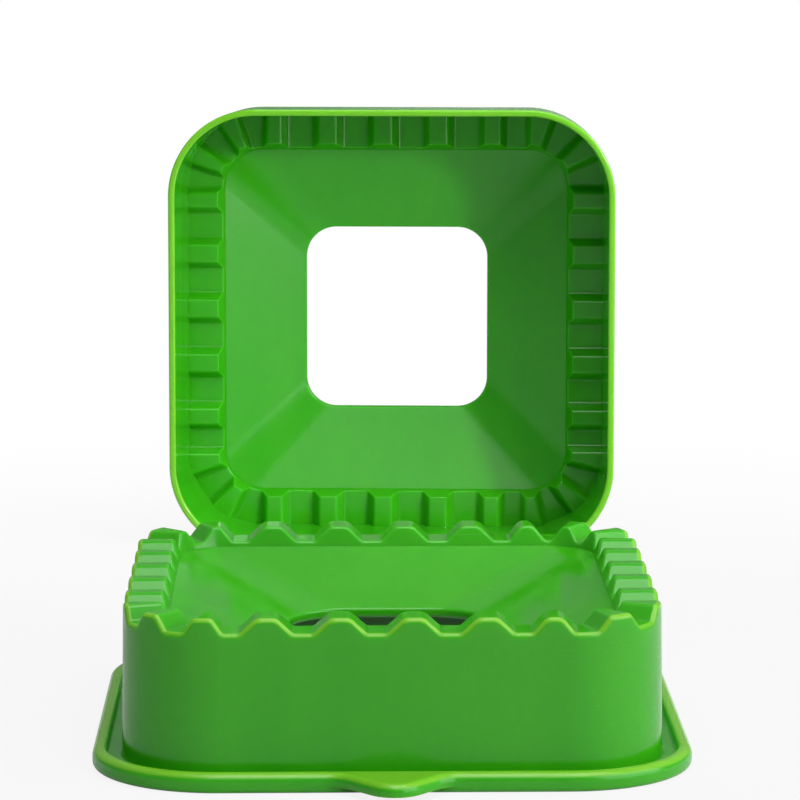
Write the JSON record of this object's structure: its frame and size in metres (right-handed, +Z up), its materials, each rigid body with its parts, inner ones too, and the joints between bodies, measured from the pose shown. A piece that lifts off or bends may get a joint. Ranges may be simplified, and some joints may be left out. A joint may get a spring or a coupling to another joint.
{
  "type": "sandwich cutter and sealer",
  "caption": "Two-part square sandwich cutter and sealer: waved crimping base with a tray flange and bowl, and a toothed cutter frame with an open window.",
  "frame": {"origin": "centre of the crimping base's underside, on the surface that both shells stand on", "axes": "+Z up; -Y is the front, where the base's finger tab is; +Y runs back to the cutter frame, which stands on its side wall behind the base"},
  "size_m": [0.1015, 0.2564, 0.0952],
  "materials": {
    "base_plastic": "bright green moulded polypropylene, glossy with a faint ripple",
    "cutter_plastic": "bright green moulded polypropylene, polished inside the skirt"
  },
  "bodies": {
    "base": {"crimping_base": "base_plastic"},
    "cutter": {"cutter_frame": "cutter_plastic"}
  },
  "joints": [
    {"name": "cutter_lift", "type": "slide", "parent": "base", "child": "cutter", "axis": [0, 0, 1], "range_m": [0, 0.1]}
  ]
}
